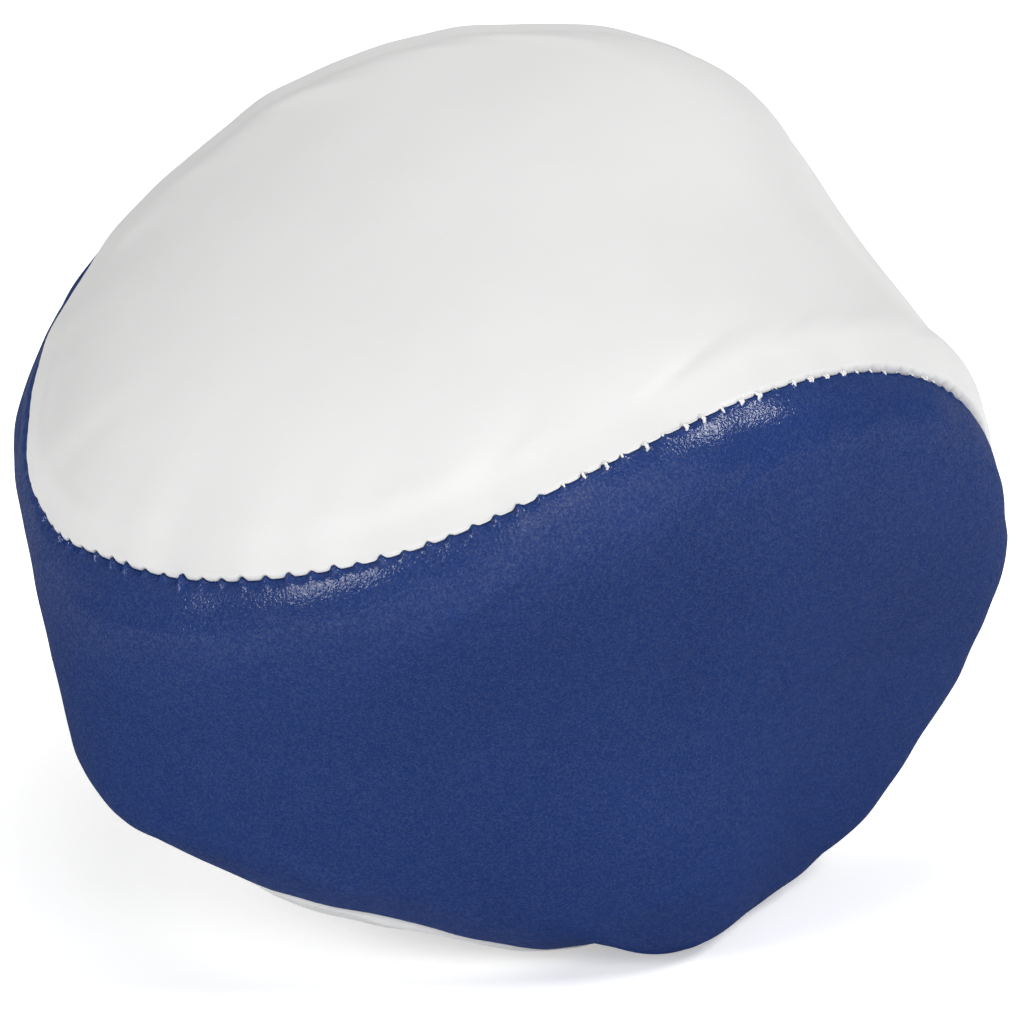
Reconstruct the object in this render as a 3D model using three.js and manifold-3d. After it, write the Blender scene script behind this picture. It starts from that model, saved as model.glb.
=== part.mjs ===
import * as THREE from 'three';
import { mergeVertices } from 'three/addons/utils/BufferGeometryUtils.js';
import Module from 'manifold-3d';

// A footbag: two figure-of-eight vinyl panels sewn edge to edge along one closed seam,
// turned right side out, filled with plastic pellets and closed by hand. It lies on a
// level surface, slumped under its own weight. Millimetres, +Z up, front at -Y.

// Seam, one closed curve around its own long axis
const WAIST_HALF_WIDTH = 8.4; // half a panel's width at its waist
const SEAM_REACH = 28.3; // greatest distance of the seam from the axis
const SEAM_HALF_LENGTH = 28.0; // half the seam's extent along the axis
const LOBE_FULLNESS = 0.6; // squares the corners of the lobes
const END_FULLNESS = 0.65; // flattens the seam at both ends of the axis
const LOBE_BULGE = 3.5; // how far a lobe's middle stands proud of its edges

// Vinyl panels
const PANEL_THICKNESS = 1.0;
const PANEL_PUFF = 0.9; // how far the panels stand proud of the sewn line
const BEND_RADIUS = 0.3; // inside the bend where a panel turns into the seam
const SEAM_ALLOWANCE = 2.5; // turned-in edge below the bend
const SEAM_GAP = 0.3; // clearance between the two turned-in edges

// Sewing thread
const THREAD_DIAMETER = 0.4;
const THREAD_CLEARANCE = 0.12; // between the thread and the walls of the groove
const STITCH_PITCH = 1.3;
const CLOSING_PITCH = 2.2; // hand stitches where the bag was closed
const CLOSING_LENGTH = 20; // stretch of the seam closed by hand
const CLOSING_CENTRE = 320; // degrees along the seam, at the back of the bag
const THREAD_END_GAP = 0.5; // between the ends of the two threads

// Pellet fill
const FILL_HEADROOM = 20.5; // between the settled fill and the top of the cover
const FILL_CLEARANCE = 0.4; // between the settled fill and the cover
const FILL_SHIFT = 2.0; // how far the loose fill can rise inside the cover
const PELLET_DIAMETER = 3.8;
const PELLET_HEIGHT = 2.8;
const PELLET_CLEARANCE = 0.25; // between a loose pellet and what it lies on
const PELLET_SPACING = 0.4; // least room between two loose pellets
const LOOSE_PELLETS = 28; // pellets lying loose on top, where so many fit

// How the bag lies and slumps
const POSE = new THREE.Euler(...[18, 3.8, 21.6].map(THREE.MathUtils.degToRad), 'XYZ');
const SAG = 0.084; // share of its height lost to its own weight
const LEAN = -0.082; // sideways drift for each unit of height
const DROOP_RADIUS = 120; // arc along which both ends hang down
const FLOOR_PRESS = 4.5; // depth of the cover pressed flat by the ground
const FLOOR_BLEND = 2.0; // half the depth over which the flat rolls up

// Dents and bulges of the slack cover: degrees to the right of the front, degrees up,
// spread in degrees and millimetres outward
const DENTS = [
  { azimuth: -85, elevation: -20, spread: 20, push: -2.6 },
  { azimuth: -107, elevation: 39, spread: 25, push: -0.8 },
  { azimuth: 128, elevation: 59, spread: 25, push: 2.2 },
  { azimuth: 108, elevation: 36, spread: 16, push: -1.7 },
  { azimuth: 79, elevation: -24, spread: 26, push: -2.9 },
  { azimuth: 42, elevation: -54, spread: 18, push: 2.0 },
  { azimuth: -42, elevation: -58, spread: 16, push: -1.5 },
  { azimuth: -125, elevation: -76, spread: 34, push: 7.6 },
  { azimuth: 30, elevation: -44, spread: 18, push: 2.8 },
  { azimuth: 12, elevation: -52, spread: 14, push: -1.2 },
  { azimuth: -62, elevation: -42, spread: 13, push: 1.1 },
  { azimuth: -25, elevation: -60, spread: 14, push: -1.5 },
];

// Colours
const WHITE_VINYL = { color: 0xe6e6e4, roughness: 0.5, metalness: 0 };
const BLUE_VINYL = { color: 0x24386e, roughness: 0.4, metalness: 0 };
const WHITE_THREAD = { color: 0xeeeeea, roughness: 0.75, metalness: 0 };
const PELLET_PLASTIC = { color: 0xdcdcd2, roughness: 0.45, metalness: 0 };

// Mesh fineness
const SEAM_STEPS = 88; // lines across each panel, a multiple of 4
const MIDDLE_ROWS = 5; // rows between a panel's spine and its rolled edge
const BEND_STEPS = 4; // steps around the outside of a bend
const SPINE_INSET = 0.36; // share of a panel's half length beyond its spine
const THREAD_SIDES = 3;
const PELLET_SIDES = 8;
const PELLET_RINGS = 5;
const SEAM_PROBE = 0.02; // share of a line used to find the panel's slope at the seam
const SLOPE_PROBE = 0.001; // radians along the seam used to find its slope
const SPIRAL_NEIGHBOURS = 1.6; // least distance between neighbours in a golden spiral of unit step

const wasm = await Module();
wasm.setup();

// Where the seam runs, before the bag settles

function seamPoint(angle) {
  const ring = (WAIST_HALF_WIDTH + SEAM_REACH) / 2;
  const swing = (WAIST_HALF_WIDTH - SEAM_REACH) / 2 - LOBE_FULLNESS;
  const terms = [[1, ring], [-3, swing], [5, LOBE_FULLNESS]];
  const point = new THREE.Vector3();
  point.x = (SEAM_HALF_LENGTH - END_FULLNESS) * Math.cos(2 * angle) + END_FULLNESS * Math.cos(6 * angle);
  for (const [order, size] of terms) {
    point.y += size * Math.cos(order * angle);
    point.z += size * Math.sin(order * angle);
  }
  return point;
}

// A point of the first panel, from its spine at share 0 to the seam at share 1. The panel
// is bent along the axis and straight across, apart from the bulge of its lobes.

function firstPanelPoint(angle, share) {
  const along = Math.asin(Math.sin(angle));
  const section = along * (1 - SPINE_INSET * (1 - share));
  const edge = seamPoint(section);
  const slope = seamPoint(section + SLOPE_PROBE).sub(seamPoint(section - SLOPE_PROBE));
  const outward = new THREE.Vector3(slope.z, 0, -slope.x).normalize();
  const halfWidth = Math.max(Math.abs(edge.y), Number.EPSILON);
  const across = share * Math.abs(seamPoint(along).y);
  const widest = SEAM_REACH * Math.SQRT1_2;
  const crown = LOBE_BULGE * (halfWidth / widest) * Math.sin(section) ** 2;
  const point = new THREE.Vector3(edge.x, Math.sign(Math.cos(angle)) * across, edge.z);
  return point.addScaledVector(outward, crown * (1 - (across / halfWidth) ** 2));
}

// The second panel is the first one turned a quarter about the axis and mirrored along it.

function secondPanelPoint(angle, share) {
  const point = firstPanelPoint(angle - Math.PI / 2, share);
  return new THREE.Vector3(-point.x, -point.z, point.y);
}

// How the filled bag settles

const dents = DENTS.map((dent) => {
  const azimuth = THREE.MathUtils.degToRad(dent.azimuth);
  const elevation = THREE.MathUtils.degToRad(dent.elevation);
  const direction = new THREE.Vector3(Math.sin(azimuth), -Math.cos(azimuth), Math.tan(elevation));
  direction.normalize();
  return { direction, spread: THREE.MathUtils.degToRad(dent.spread), push: dent.push };
});

function slump(point) {
  const turned = point.clone().applyEuler(POSE);
  const drop = turned.x ** 2 / (2 * DROOP_RADIUS);
  const sagged = new THREE.Vector3(turned.x + LEAN * turned.z, turned.y, turned.z * (1 - SAG) - drop);
  const settled = sagged.clone();
  for (const dent of dents) {
    const away = sagged.angleTo(dent.direction) / dent.spread;
    settled.addScaledVector(dent.direction, dent.push * Math.exp(-(away ** 2)));
  }
  return settled;
}

const seamAngles = Array.from({ length: SEAM_STEPS }, (_, step) => (2 * Math.PI * step) / SEAM_STEPS);
const shares = Array.from({ length: MIDDLE_ROWS + 1 }, (_, row) => row / MIDDLE_ROWS);
const samples = seamAngles.flatMap((angle) =>
  shares.flatMap((share) => [slump(firstPanelPoint(angle, share)), slump(secondPanelPoint(angle, share))]),
);
const reach = new THREE.Box3().setFromPoints(samples);
const ground = reach.min.z + FLOOR_PRESS;
const middle = reach.getCenter(new THREE.Vector3());
const coverTop = reach.max.z - ground + 2 * PANEL_PUFF;
const fillLevel = coverTop - FILL_HEADROOM;

// The cover is flat where it would sink below the ground, with a soft turn up around it.

function settle(point) {
  const settled = slump(point);
  const height = settled.z - ground;
  const blend = THREE.MathUtils.clamp(height + FLOOR_BLEND, 0, 2 * FLOOR_BLEND);
  const pressed = height > FLOOR_BLEND ? height : blend ** 2 / (4 * FLOOR_BLEND);
  return new THREE.Vector3(settled.x - middle.x, settled.y - middle.y, pressed + PANEL_PUFF);
}

// Frames along the seam: its place, the outward direction, the sideways direction into the
// first panel and, for each panel, the way into it, the way it faces and its turned-in bend

const edgeStart = SEAM_GAP / 2;
const wallStart = edgeStart + PANEL_THICKNESS;
const bendOutside = BEND_RADIUS + PANEL_THICKNESS;
const firstPanel = { pointAt: firstPanelPoint, side: 1, quarter: 0 };
const secondPanel = { pointAt: secondPanelPoint, side: -1, quarter: SEAM_STEPS / 4 };
const panels = [firstPanel, secondPanel];

function intoPanel(panel, angle, point, tangent) {
  const inside = settle(panel.pointAt(angle, 1 - SEAM_PROBE)).sub(point);
  return inside.addScaledVector(tangent, -inside.dot(tangent)).normalize();
}

const seamFrames = seamAngles.map((angle, step) => {
  const point = settle(seamPoint(angle));
  const next = settle(seamPoint(seamAngles[(step + 1) % SEAM_STEPS]));
  const last = settle(seamPoint(seamAngles[(step + SEAM_STEPS - 1) % SEAM_STEPS]));
  const tangent = next.sub(last).normalize();
  const into = new Map(panels.map((panel) => [panel, intoPanel(panel, angle, point, tangent)]));
  const sideways = into.get(firstPanel).clone().sub(into.get(secondPanel)).normalize();
  const outward = tangent.clone().cross(sideways).normalize();
  const slopeAngle = Math.asin(-into.get(firstPanel).dot(outward));
  const rise = PANEL_PUFF - bendOutside * (1 + Math.sin(slopeAngle));
  const bendHeight = rise / Math.cos(slopeAngle);
  return { point, tangent, outward, sideways, into, slopeAngle, bendHeight };
});

// A row at a distance sideways from the seam and a height above its bends

function seamRow(panel, distance, height) {
  return seamFrames.map((frame) => frame.point.clone()
    .addScaledVector(frame.sideways, panel.side * distance)
    .addScaledVector(frame.outward, frame.bendHeight + height));
}

// A row on the bend, from where it leaves the panel at share 0 to the turned-in edge at share 1

function bendRow(panel, radius, share) {
  const centres = seamRow(panel, edgeStart + bendOutside, 0);
  return seamFrames.map((frame, step) => {
    const into = frame.into.get(panel);
    const facing = frame.tangent.clone().cross(into).multiplyScalar(panel.side);
    const angle = share * (Math.PI / 2 + frame.slopeAngle);
    return centres[step]
      .addScaledVector(facing, radius * Math.cos(angle))
      .addScaledVector(into, -radius * Math.sin(angle));
  });
}

// Rows of points from a panel's spine towards its bend, before the panel is puffed out

function middleRows(panel) {
  const margin = 2 * (edgeStart + bendOutside);
  return shares.slice(0, MIDDLE_ROWS).map((share) =>
    seamAngles.map((angle, step) => {
      const length = settle(panel.pointAt(angle, 0)).distanceTo(seamFrames[step].point);
      return settle(panel.pointAt(angle, share * (1 - margin / (length + margin / 2))));
    }),
  );
}

// A skin over rows of points. A folded row lies along the panel's spine, where the two lines
// that meet share one point. Past the turn the rows run back, and each four-sided cell is
// split the other way, so that the two faces of a panel have their creases in one place.

function spineMate(step, panel) {
  const mirrored = SEAM_STEPS / 2 + 2 * panel.quarter - step;
  return ((mirrored % SEAM_STEPS) + SEAM_STEPS) % SEAM_STEPS;
}

function skinTriangles(rowCount, panel, folded, turn) {
  const corner = (row, step) => {
    const around = step % SEAM_STEPS;
    const merged = folded.includes(row) ? Math.min(around, spineMate(around, panel)) : around;
    return row * SEAM_STEPS + merged;
  };
  const triangles = [];
  for (let row = 0; row + 1 < rowCount; row += 1) {
    for (let step = 0; step < SEAM_STEPS; step += 1) {
      const [a, b] = [corner(row, step), corner(row, step + 1)];
      const [c, d] = [corner(row + 1, step + 1), corner(row + 1, step)];
      const pair = row < turn ? [[a, c, b], [a, d, c]] : [[a, d, b], [b, d, c]];
      for (const [p, q, r] of pair) triangles.push(...(panel.side > 0 ? [p, q, r] : [p, r, q]));
    }
  }
  return triangles;
}

function skin(rows, panel, folded, turn) {
  const geometry = new THREE.BufferGeometry();
  geometry.setFromPoints(rows.flat());
  geometry.setIndex(skinTriangles(rows.length, panel, folded, turn));
  return geometry;
}

// Which way a panel faces at each point of its rows: straight down where it lies on the ground

function rowNormals(rows, panel) {
  const geometry = skin(rows, panel, [0], rows.length);
  geometry.computeVertexNormals();
  const normals = geometry.getAttribute('normal');
  return rows.map((row, index) => row.map((point, step) => {
    if (point.z === PANEL_PUFF) return new THREE.Vector3(0, 0, -1);
    const line = index === 0 ? Math.min(step, spineMate(step, panel)) : step;
    return new THREE.Vector3().fromBufferAttribute(normals, index * SEAM_STEPS + line);
  }));
}

function offsetRow(row, normals, distance) {
  return row.map((point, step) => point.clone().addScaledVector(normals[step], distance));
}

const panelMiddles = new Map(panels.map((panel) => {
  const rows = middleRows(panel);
  const edge = seamFrames.map((frame) => frame.point);
  return [panel, { rows, normals: rowNormals([...rows, edge], panel) }];
}));

function middleFace(panel, distance) {
  const { rows, normals } = panelMiddles.get(panel);
  return rows.map((row, index) => offsetRow(row, normals[index], distance));
}

// A panel: its puffed outer face, the bend, the turned-in allowance and the inner face

function panelGeometry(panel) {
  const bendShares = Array.from({ length: BEND_STEPS + 1 }, (_, step) => step / BEND_STEPS);
  const rows = [
    ...middleFace(panel, PANEL_PUFF),
    ...bendShares.map((share) => bendRow(panel, bendOutside, share)),
    seamRow(panel, edgeStart, -SEAM_ALLOWANCE),
  ];
  const turn = rows.length;
  rows.push(
    seamRow(panel, wallStart, -SEAM_ALLOWANCE),
    bendRow(panel, BEND_RADIUS, 1),
    bendRow(panel, BEND_RADIUS, 0),
    ...middleFace(panel, PANEL_PUFF - PANEL_THICKNESS).reverse(),
  );
  for (const point of rows.flat()) point.z = Math.max(point.z, 0);
  return skin(rows, panel, [0, rows.length - 1], turn);
}

// Sewing thread, laced from side to side in the groove between the panels

function seamFrameAt(turn) {
  const place = (turn - Math.floor(turn)) * SEAM_STEPS;
  const step = Math.floor(place);
  const from = seamFrames[step % SEAM_STEPS];
  const to = seamFrames[(step + 1) % SEAM_STEPS];
  const blend = (key) => from[key].clone().lerp(to[key], place - step);
  const bendHeight = THREE.MathUtils.lerp(from.bendHeight, to.bendHeight, place - step);
  return { point: blend('point'), outward: blend('outward'), sideways: blend('sideways'), bendHeight };
}

const seamLength = seamFrames.reduce((sum, frame, step) =>
  sum + frame.point.distanceTo(seamFrames[(step + 1) % SEAM_STEPS].point), 0);

function threadGeometry(start, end, pitch) {
  const radius = THREAD_DIAMETER / 2;
  const height = bendOutside - radius;
  const clear = bendOutside + radius + THREAD_CLEARANCE;
  const swing = Math.max(0, edgeStart + bendOutside - Math.sqrt(clear ** 2 - height ** 2));
  const count = 2 * Math.round(((end - start) * seamLength) / pitch);
  const positions = [];
  for (let index = 0; index <= count; index += 1) {
    const frame = seamFrameAt(start + ((end - start) * index) / count);
    const side = index % 2 === 0 ? swing : -swing;
    const centre = frame.point
      .addScaledVector(frame.outward, frame.bendHeight + height)
      .addScaledVector(frame.sideways, side);
    for (let corner = 0; corner < THREAD_SIDES; corner += 1) {
      const angle = (2 * Math.PI * corner) / THREAD_SIDES;
      positions.push(centre.clone()
        .addScaledVector(frame.outward, radius * Math.cos(angle))
        .addScaledVector(frame.sideways, radius * Math.sin(angle)));
    }
  }
  for (const point of positions) point.z = Math.max(point.z, 0);
  const geometry = new THREE.BufferGeometry();
  geometry.setFromPoints(positions);
  geometry.setIndex(tubeTriangles(count, THREAD_SIDES));
  return geometry;
}

function tubeTriangles(count, sides) {
  const triangles = [];
  for (let ring = 0; ring < count; ring += 1) {
    for (let corner = 0; corner < sides; corner += 1) {
      const a = ring * sides + corner;
      const b = ring * sides + ((corner + 1) % sides);
      triangles.push(a, b + sides, b, a, a + sides, b + sides);
    }
  }
  for (let corner = 1; corner + 1 < sides; corner += 1) {
    const lastRing = count * sides;
    triangles.push(0, corner, corner + 1);
    triangles.push(lastRing, lastRing + corner + 1, lastRing + corner);
  }
  return triangles;
}

// Pellet fill

function toSolid(geometry) {
  geometry.deleteAttribute('normal');
  geometry.deleteAttribute('uv');
  const merged = mergeVertices(geometry);
  return new wasm.Manifold(new wasm.Mesh({
    numProp: 3,
    vertProperties: new Float32Array(merged.getAttribute('position').array),
    triVerts: new Uint32Array(merged.getIndex().array),
  }));
}

function toGeometry(solid) {
  const mesh = solid.getMesh();
  const geometry = new THREE.BufferGeometry();
  geometry.setAttribute('position', new THREE.BufferAttribute(mesh.vertProperties, mesh.numProp));
  geometry.setIndex(new THREE.BufferAttribute(mesh.triVerts, 1));
  return geometry;
}

// The room inside the cover, clear of the panels and of their turned-in edges

function roomRows(panel) {
  const depth = -SEAM_ALLOWANCE - FILL_CLEARANCE;
  return [
    ...middleFace(panel, PANEL_PUFF - PANEL_THICKNESS - FILL_CLEARANCE),
    seamRow(panel, wallStart + BEND_RADIUS, -FILL_CLEARANCE),
    seamRow(panel, wallStart + BEND_RADIUS, depth),
    seamRow(panel, 0, depth),
  ];
}

function roomSkin(panel) {
  const rows = roomRows(panel);
  return skin(rows, panel, [0], rows.length);
}

function roomGeometry() {
  const halves = panels.map((panel) => roomSkin(panel));
  const offset = halves[0].getAttribute('position').count;
  const geometry = new THREE.BufferGeometry();
  const positions = halves.flatMap((half) => [...half.getAttribute('position').array]);
  geometry.setAttribute('position', new THREE.Float32BufferAttribute(positions, 3));
  const [first, second] = halves.map((half) => [...half.getIndex().array]);
  geometry.setIndex([...first, ...second.map((corner) => corner + offset)]);
  return geometry;
}

// The settled fill keeps clear of the cover at rest and all the way as it rises.

const room = roomGeometry();
const roomBox = new THREE.Box3().setFromBufferAttribute(room.getAttribute('position'));
const roomSize = roomBox.getSize(new THREE.Vector3());

function bedGeometry() {
  const riseSteps = Math.ceil(FILL_SHIFT / FILL_CLEARANCE);
  let bed = toSolid(new THREE.BoxGeometry(2 * roomSize.x, 2 * roomSize.y, 2 * fillLevel));
  for (let step = 0; step <= riseSteps; step += 1) {
    const risen = room.clone().translate(0, 0, (-FILL_SHIFT * step) / riseSteps);
    bed = bed.intersect(toSolid(risen));
  }
  return toGeometry(bed);
}

// Loose pellets lie in a spiral on the fill, inside the circle that stays clear of the cover.

function clearCircle() {
  const bottom = fillLevel - PELLET_DIAMETER;
  const top = fillLevel + PELLET_CLEARANCE + PELLET_DIAMETER + FILL_SHIFT;
  const points = room.getAttribute('position');
  const walls = [];
  for (let index = 0; index < points.count; index += 1) {
    const point = new THREE.Vector3().fromBufferAttribute(points, index);
    if (point.z > bottom && point.z < top) walls.push(point);
  }
  const centre = new THREE.Box3().setFromPoints(walls).getCenter(new THREE.Vector3());
  const radius = Math.min(...walls.map((point) => Math.hypot(point.x - centre.x, point.y - centre.y)));
  return { centre, radius: radius - PELLET_DIAMETER / 2 - PELLET_SPACING };
}

function pelletPlaces() {
  const { centre, radius } = clearCircle();
  const spiralStep = (PELLET_DIAMETER + PELLET_SPACING) / SPIRAL_NEIGHBOURS;
  const goldenAngle = Math.PI * (3 - Math.sqrt(5));
  const count = Math.min(LOOSE_PELLETS, Math.floor((radius / spiralStep) ** 2));
  return Array.from({ length: count }, (_, index) => {
    const distance = spiralStep * Math.sqrt(index + 0.5);
    const x = centre.x + distance * Math.cos(goldenAngle * index);
    const y = centre.y + distance * Math.sin(goldenAngle * index);
    return { x, y, tilt: (index * goldenAngle) % 1, heading: goldenAngle * index * index };
  });
}

function pelletGeometry() {
  const geometry = new THREE.SphereGeometry(PELLET_DIAMETER / 2, PELLET_SIDES, PELLET_RINGS);
  return geometry.scale(1, PELLET_HEIGHT / PELLET_DIAMETER, 1).rotateX(Math.PI / 2);
}

function placePellet(mesh, { x, y, tilt, heading }) {
  const wide = (PELLET_DIAMETER / 2) * Math.sin(tilt);
  const flat = (PELLET_HEIGHT / 2) * Math.cos(tilt);
  mesh.rotation.set(tilt, 0, heading, 'ZYX');
  mesh.position.set(x, y, fillLevel + PELLET_CLEARANCE + Math.hypot(wide, flat));
}

// Assembly

const footbag = new THREE.Group();

function addPiece(name, geometry, look) {
  const mesh = new THREE.Mesh(geometry, new THREE.MeshStandardMaterial(look));
  mesh.name = name;
  footbag.add(mesh);
  return mesh;
}

const closingHalf = CLOSING_LENGTH / seamLength / 2;
const closingCentre = THREE.MathUtils.degToRad(CLOSING_CENTRE) / (2 * Math.PI);
const endGap = THREAD_END_GAP / seamLength;
const closingStart = closingCentre - closingHalf;
const closingEnd = closingCentre + closingHalf;
const sewnStart = closingEnd + endGap;
const sewnEnd = closingStart + 1 - endGap;

addPiece('white_panel', panelGeometry(firstPanel), WHITE_VINYL);
addPiece('blue_panel', panelGeometry(secondPanel), BLUE_VINYL);
addPiece('seam_thread', threadGeometry(sewnStart, sewnEnd, STITCH_PITCH), WHITE_THREAD);
addPiece('closing_thread', threadGeometry(closingStart, closingEnd, CLOSING_PITCH), WHITE_THREAD);
addPiece('pellet_bed', bedGeometry(), PELLET_PLASTIC);
pelletPlaces().forEach((place, index) => {
  const name = `pellet_${String(index + 1).padStart(2, '0')}`;
  placePellet(addPiece(name, pelletGeometry(), PELLET_PLASTIC), place);
});

// The origin is the middle of the footprint, on the ground.

const footprint = new THREE.Box3().setFromObject(footbag, true).getCenter(new THREE.Vector3()).setZ(0);
for (const piece of footbag.children) piece.position.sub(footprint);

export default footbag;
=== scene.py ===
import math

import bpy
import numpy as np
from mathutils import Euler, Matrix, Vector
from mathutils.bvhtree import BVHTree


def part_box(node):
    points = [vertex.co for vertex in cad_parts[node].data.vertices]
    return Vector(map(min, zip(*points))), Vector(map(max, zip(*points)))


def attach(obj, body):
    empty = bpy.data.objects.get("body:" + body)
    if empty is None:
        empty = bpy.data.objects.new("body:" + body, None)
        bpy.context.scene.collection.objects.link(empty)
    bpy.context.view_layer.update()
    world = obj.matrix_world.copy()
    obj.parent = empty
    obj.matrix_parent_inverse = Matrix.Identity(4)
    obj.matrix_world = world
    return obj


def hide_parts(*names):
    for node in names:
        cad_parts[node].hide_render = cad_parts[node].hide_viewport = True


# A footbag of white and blue vinyl: two figure-of-eight panels sewn along one winding seam,
# filled with loose pellets and slumped on a pale floor. Shapes are worked out in millimetres
# and turned into metres when a mesh is made.

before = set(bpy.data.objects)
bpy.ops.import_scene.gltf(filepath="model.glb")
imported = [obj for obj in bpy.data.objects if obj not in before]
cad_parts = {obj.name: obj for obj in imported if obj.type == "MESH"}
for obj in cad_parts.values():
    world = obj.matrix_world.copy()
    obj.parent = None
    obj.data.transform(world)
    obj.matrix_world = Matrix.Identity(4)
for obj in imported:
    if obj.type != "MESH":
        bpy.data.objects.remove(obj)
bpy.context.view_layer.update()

MM = 0.001
TURN = 2 * math.pi

# Seam and panels, as in the part's source
WAIST_HALF_WIDTH = 8.4
SEAM_REACH = 28.3
SEAM_HALF_LENGTH = 28.0
LOBE_FULLNESS = 0.6
END_FULLNESS = 0.65
LOBE_BULGE = 3.5
PANEL_THICKNESS = 1.0
PANEL_PUFF = 0.9
BEND_RADIUS = 0.3
SEAM_ALLOWANCE = 2.5
SEAM_GAP = 0.3
SPINE_INSET = 0.36
SLOPE_PROBE = 0.001

# Sewing
STITCH_PITCH = 1.3
STITCH_JITTER = 0.05
SHOW_RANGE = (0.55, 1.2)  # times the share of the thread that shows, from stitch to stitch
PINCH_RANGE = (0.6, 1.25)  # times the share of the full pinch
CLOSING_PITCH = 2.2
CLOSING_JITTER = 0.12
CLOSING_LENGTH = 20
CLOSING_CENTRE = 320  # degrees round the seam
CLOSING_MARGIN = 2  # steps left free at each end of the machine's stitches
CLOSING_PINCH = 0.5
HIDDEN_TOP = -0.35  # height over the groove of a machine stitch that doesn't show
SHOWN_RISE = 0.62  # how much higher a stitch stands that shows in full
CLOSING_TOP = 0.42
THREAD_BOTTOM = -1.6
MACHINE_STITCH = {"half_width": 0.24, "lean": 0.14, "slant": 0.9, "rings": 20}
HAND_STITCH = {"half_width": 0.8, "lean": 0, "slant": 0.55, "rings": 28}
MACHINE_SIDES = 5  # round each ply of the machine's thread
HAND_SIDES = 6
PLY_RADIUS = 0.085
PLY_SHARE = 0.85  # of a ply's radius, from the middle of the thread to the middle of a ply
PLY_TWIST = 1.6  # length of one twist of the two plies
KNOT_RADIUS = 1.5 * PLY_RADIUS
KNOT_SIZE = 0.14
KNOT_HEIGHT = 0.5
KNOT_POINTS = 72
TUBE_HINT = (0.3, 0.5, 0.8)  # a direction from which a tube's sides are started
PLY_HINT = (0.31, 0.52, 0.79)

# Pellets
PELLET_DIAMETER = 3.8
PELLET_HEIGHT = 2.8
PELLET_SQUARENESS = 0.72  # 1 is an ellipsoid, less is boxier
PELLET_DIMPLE = 0.12
HEAP_SPACING = 4.0
HEAP_CLEARANCE = 0.2
HEAP_FINENESS = (10, 6)  # sides and rings of a pellet
LOOSE_FINENESS = (18, 12)
LOOSE_TILT = 0.3  # radians
FILL_RISE = 2.0
RAY_STEP = 0.001  # past a hit, to where the next ray starts

# Seeds of the random draws
STITCH_SEED = 3
CLOSING_SEED = 5
STYLE_SEED = 7
WHITE_SEED = 11
BLUE_SEED = 12
HEAP_SEED = 21
LOOSE_SEED = 22

# How the bag lies and slumps, as in the part's source
POSE_DEGREES = (18, 3.8, 21.6)
SAG = 0.084
LEAN = -0.082
DROOP_RADIUS = 120
FLOOR_PRESS = 4.5
FLOOR_BLEND = 2.0
FOOTPRINT = (0.342, 0.147)  # middle of the footprint from the middle of the panels' box
DENTS = (  # degrees right of the front, degrees up, spread in degrees, millimetres outward
    (-85, -20, 20, -2.6),
    (-107, 39, 25, -0.8),
    (128, 59, 25, 2.2),
    (108, 36, 16, -1.7),
    (79, -24, 26, -2.9),
    (42, -54, 18, 2.0),
    (-42, -58, 16, -1.5),
    (-125, -76, 34, 7.6),
    (30, -44, 18, 2.8),
    (12, -52, 14, -1.2),
    (-62, -42, 13, 1.1),
    (-25, -60, 14, -1.5),
)
LOCAL_DENTS = (  # of the soft cover only, in the same terms
    (60, -52, 16, -0.6),
    (45, -60, 16, -2.2),
    (75, -42, 16, 0.3),
    (98, -8, 14, -0.4),
    (111, 45, 18, 0.9),
    (-75, -35, 14, 0.3),
    (-82, -13, 16, -2.1),
    (25, -46, 10, -0.5),
    (-40, -50, 14, 0.3),
)

# Mesh fineness
SEAM_STEPS = 2400  # a multiple of 8
COARSE = 4  # steps to one column away from the seam
MIDDLE_ROWS = 40
NEAR_ROWS = 16
NEAR_REACH = 4.5  # from the seam to where the coarse columns start
NEAR_GRADING = 1.5  # packs the rows towards the seam
ROLL_ROWS = 10
INNER_ROWS = 9
INNER_START = 4  # rows past the middle ones where the inner face starts
ARC_SAMPLES = 9600
GROUND_STEPS = 88
GROUND_ROWS = 6
HALVINGS = 20  # to find where on a panel a distance from the seam is reached
SQUARE_ROUNDS = 5  # rounds that bring a row of the panel square to the seam

# Shape of the vinyl along the seam
EDGE_CHORD = 1.6  # the distance from the seam at which a panel's direction is taken
SQUARE_REACH = 1.7  # up to here a panel runs square to the seam
FRAME_BLUR = 1.2  # smooths the panels' directions along the seam
GROOVE_DEPTH = 0.18
EDGE_DIP = 0.65  # how far both panels fall towards the groove
WHITE_DIP_REACH = 4.5
EDGE_TUCK = 0.12  # how far below the groove's line the rolled edges end
PINCH = 0.28  # how far a stitch draws the edge of the blue panel into the white one
PINCH_SPREAD = 0.19
PINCH_REACH = 0.5
PEAK_LIFT = 0.22  # how far the drawn blue edge stands up
ROLL_EDGE = 0.35  # from the groove to where a panel's edge starts to turn in
ROLL_GAP = 0.015  # from the middle of the groove to each rolled edge
ROLL_HANDLE = 0.4  # length of the handles that bend the roll, as a share of its length
ROLL_UP = 0.7  # how steeply a rolled edge comes down into the groove
WHITE_ROLL_OUT = 0.3
BLUE_ROLL_OUT = 0.6
NOTCH = 0.12  # depth to which a stitch presses the white edge
LIP_ROUNDING = 2.0  # distance over which the blue edge rises out of the groove
LIP_REACH = 12.0
EDGE_LIP = (  # share of the way round the seam, how far the blue edge stands out beside it
    (0.00, 0.1), (0.175, 0.1), (0.195, 0.9), (0.215, 0.6), (0.25, 0.6), (0.28, 1.8), (0.42, 2.0),
    (0.46, 0.9), (0.50, 0.9), (0.55, 0.5), (0.58, 0.6), (0.62, 0.6), (0.65, 0.3), (0.68, 0.3),
    (0.72, 1.2), (0.76, 1.3), (0.80, 0.3), (1.00, 0.2),
)
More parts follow.
